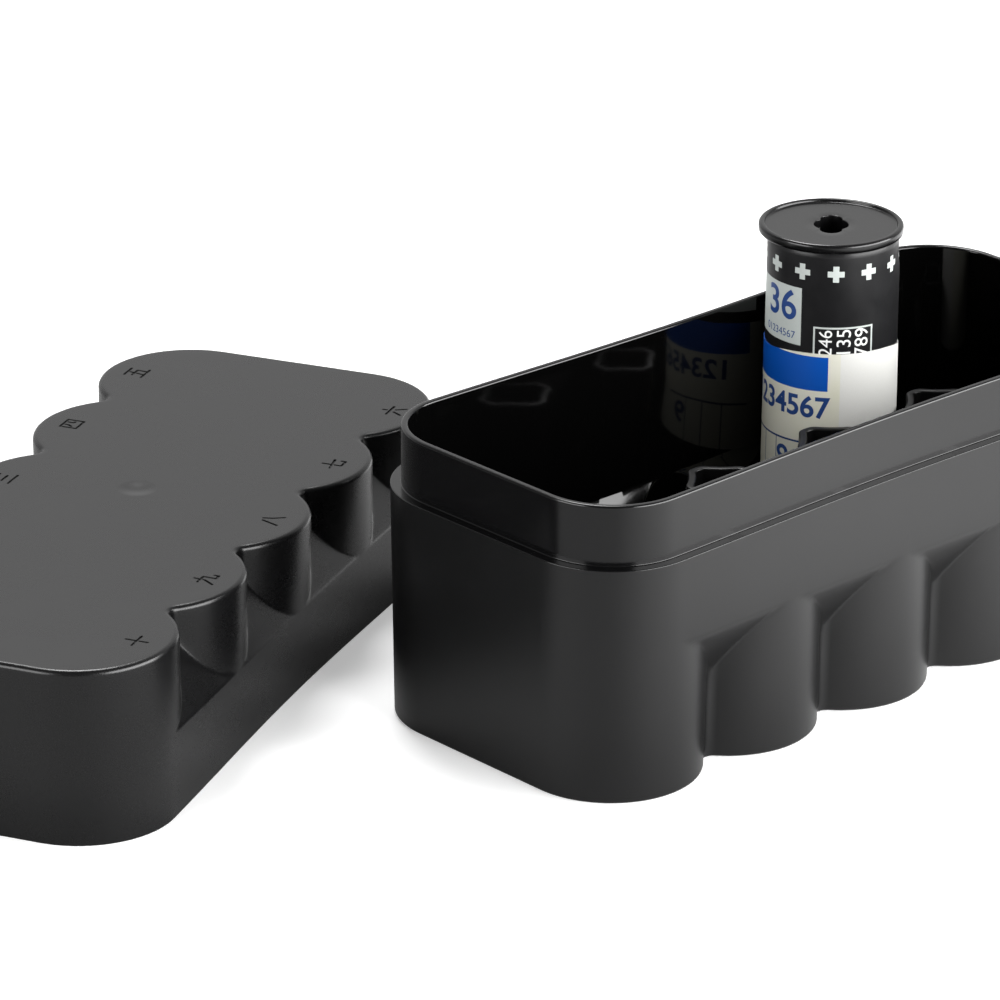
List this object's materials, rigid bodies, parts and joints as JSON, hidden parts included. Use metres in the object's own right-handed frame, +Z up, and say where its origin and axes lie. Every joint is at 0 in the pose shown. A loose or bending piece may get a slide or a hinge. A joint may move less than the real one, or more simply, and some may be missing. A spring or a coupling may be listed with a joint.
{
  "type": "film roll case",
  "caption": "Moulded plastic storage case for medium-format film rolls: open base tray with scalloped walls and star posts, lift-off lid beside it, and a film roll standing in a pocket.",
  "frame": {"origin": "centre of the base tray's underside, on the surface that it stands on", "axes": "+X along the base tray's long side, +Y along its short side towards the row with the film roll, +Z up"},
  "size_m": [0.2255, 0.152, 0.0675],
  "materials": {
    "case_plastic": "black moulded plastic, satin",
    "spool_plastic": "black moulded plastic, satin",
    "film": "coated film base",
    "tape": "thin adhesive tape",
    "backing_paper": "black coated paper with white printing",
    "band_paper": "white gummed paper with blue printing"
  },
  "bodies": {
    "base": {"base_tray": "case_plastic"},
    "lid": {"lid_cover": "case_plastic"},
    "film_roll": {"spool": "spool_plastic", "film_strip": "film", "joining_tape": "tape", "backing_paper": "backing_paper", "seal_band": "band_paper"}
  },
  "joints": [
    {"name": "lid_lift", "type": "slide", "parent": "base", "child": "lid", "axis": [0, 0, 1], "range_m": [0, 0.08]},
    {"name": "roll_lift", "type": "slide", "parent": "base", "child": "film_roll", "axis": [0, 0, 1], "range_m": [0, 0.07]}
  ]
}
